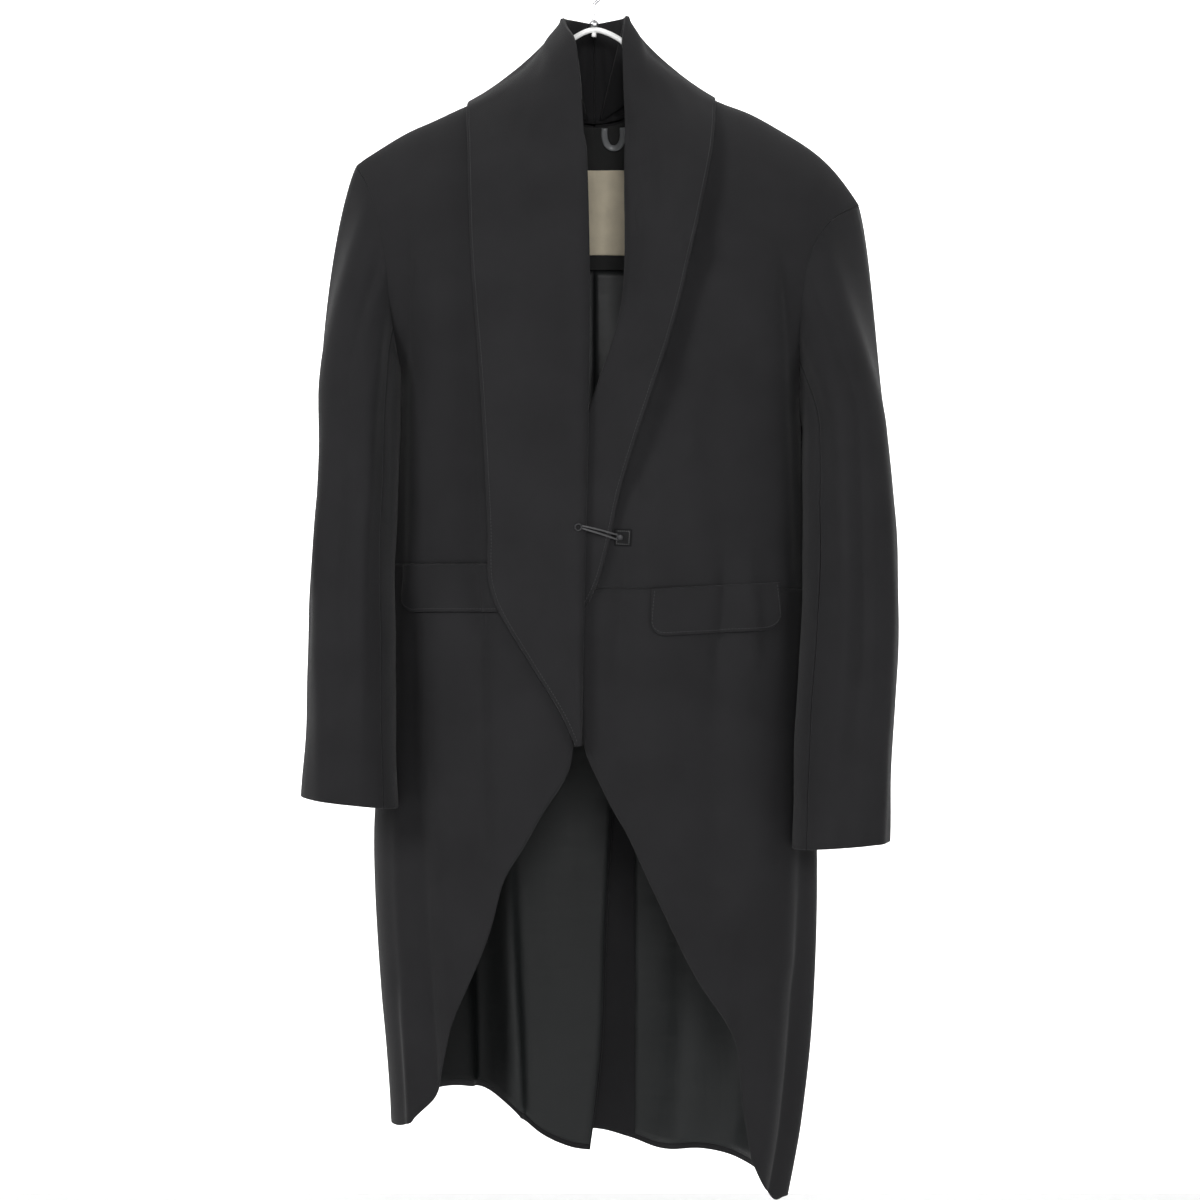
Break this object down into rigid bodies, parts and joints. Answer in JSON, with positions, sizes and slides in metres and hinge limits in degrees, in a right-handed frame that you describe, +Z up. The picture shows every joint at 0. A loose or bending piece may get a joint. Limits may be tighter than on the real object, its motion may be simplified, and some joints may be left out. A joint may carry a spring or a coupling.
{
  "type": "shawl collar jacket on a hanger",
  "caption": "Long cutaway jacket with a wide asymmetric shawl collar, pocket flaps and a looped cord fastening, hung on a plain hanger.",
  "frame": {"origin": "where the hook hangs: the inside of the top of its curve", "axes": "+Z up, -Y towards the garment's front, +X towards the wearer's left"},
  "size_m": [0.563, 0.2407, 1.2035],
  "materials": {
    "black_wool": "matt wool suiting with a soft nap",
    "facing_cloth": "matt facing cloth",
    "dark_satin": "satin lining",
    "label_tape": "bare woven tape",
    "dark_horn": "polished dark horn look",
    "dark_leather": "dark stitched leather",
    "waxed_cord": "waxed cord",
    "hook_steel": "satin steel",
    "hanger_white": "white coating"
  },
  "bodies": {
    "root": {"front_right": "black_wool", "skirt_right": "black_wool", "back_right": "black_wool", "sleeve_top_right": "black_wool", "sleeve_under_right": "black_wool", "collar_right": "black_wool", "flap_right": "black_wool", "front_left": "black_wool", "skirt_left": "black_wool", "back_left": "black_wool", "sleeve_top_left": "black_wool", "sleeve_under_left": "black_wool", "collar_left": "black_wool", "flap_left": "black_wool", "neck_facing": "facing_cloth", "hanging_loop": "dark_satin", "lining_right": "dark_satin", "lining_left": "dark_satin", "label": "label_tape", "cuff_button_right_1": "dark_horn", "cuff_button_right_2": "dark_horn", "cuff_button_right_3": "dark_horn", "cuff_button_right_4": "dark_horn", "cuff_button_left_1": "dark_horn", "cuff_button_left_2": "dark_horn", "cuff_button_left_3": "dark_horn", "cuff_button_left_4": "dark_horn", "fastener_tab": "dark_leather", "fastener_cord": "waxed_cord", "hanger_hook": "hook_steel", "hanger_nut": "hook_steel", "fastener_eyelet": "hook_steel", "fastener_knob": "hook_steel", "hanger_arms": "hanger_white", "hanger_bolt": "hanger_white"}
  },
  "joints": []
}
